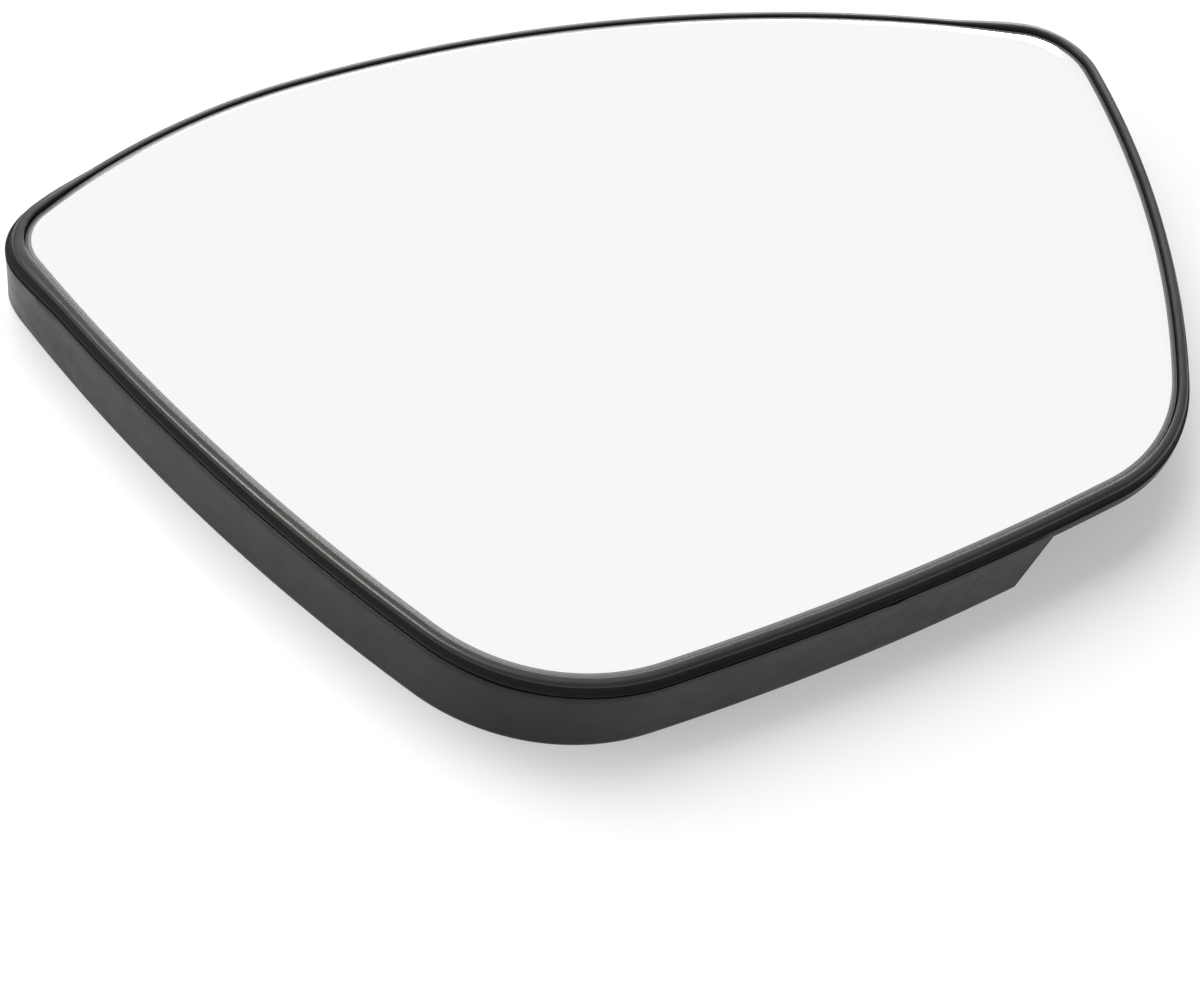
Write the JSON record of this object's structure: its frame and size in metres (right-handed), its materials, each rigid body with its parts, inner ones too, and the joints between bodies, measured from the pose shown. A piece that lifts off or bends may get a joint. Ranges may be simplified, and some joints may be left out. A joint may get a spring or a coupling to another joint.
{
  "type": "car door mirror glass",
  "caption": "Convex four-cornered door mirror glass bonded in a black moulded holder with a rounded rim, a part skirt and a round clip collar behind.",
  "frame": {"origin": "on the axis of the clip collar, at its rear face, which is level with the skirt's lower edge", "axes": "+Z out of the front of the mirror, X along its length and roughly along the skirted bottom side, +Y towards the long arched edge"},
  "size_m": [0.1884, 0.1264, 0.0178],
  "materials": {
    "mirror": "polished",
    "pad": "matte",
    "holder": "satin"
  },
  "bodies": {
    "root": {"mirror_glass": "mirror", "adhesive_pad": "pad", "glass_holder": "holder"}
  },
  "joints": []
}
